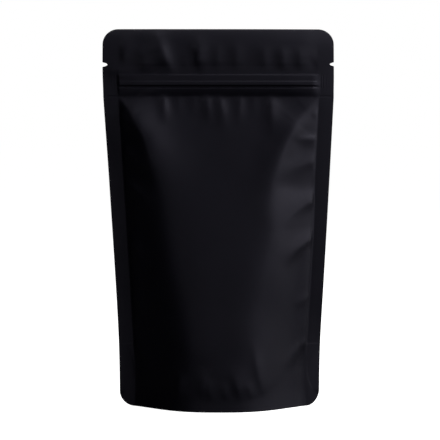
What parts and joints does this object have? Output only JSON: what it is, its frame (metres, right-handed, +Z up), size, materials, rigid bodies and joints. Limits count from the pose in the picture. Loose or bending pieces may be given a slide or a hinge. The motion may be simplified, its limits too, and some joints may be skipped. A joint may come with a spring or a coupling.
{
  "type": "stand-up pouch",
  "caption": "Filled, closed stand-up pouch of matt black laminate film with a press-to-close zip, tear notches, flat side seals and an opened bottom gusset.",
  "frame": {"origin": "on the floor under the middle of the pouch, between the front and back panels' skirts", "axes": "+Z up along the pouch's height, +X across its width to the right as seen from the front, and the front panel faces -Y"},
  "size_m": [0.129, 0.0544, 0.211],
  "materials": {
    "film": "matt black laminate film with a soft sheen and fine creases"
  },
  "bodies": {
    "root": {"pouch": "film"}
  },
  "joints": []
}
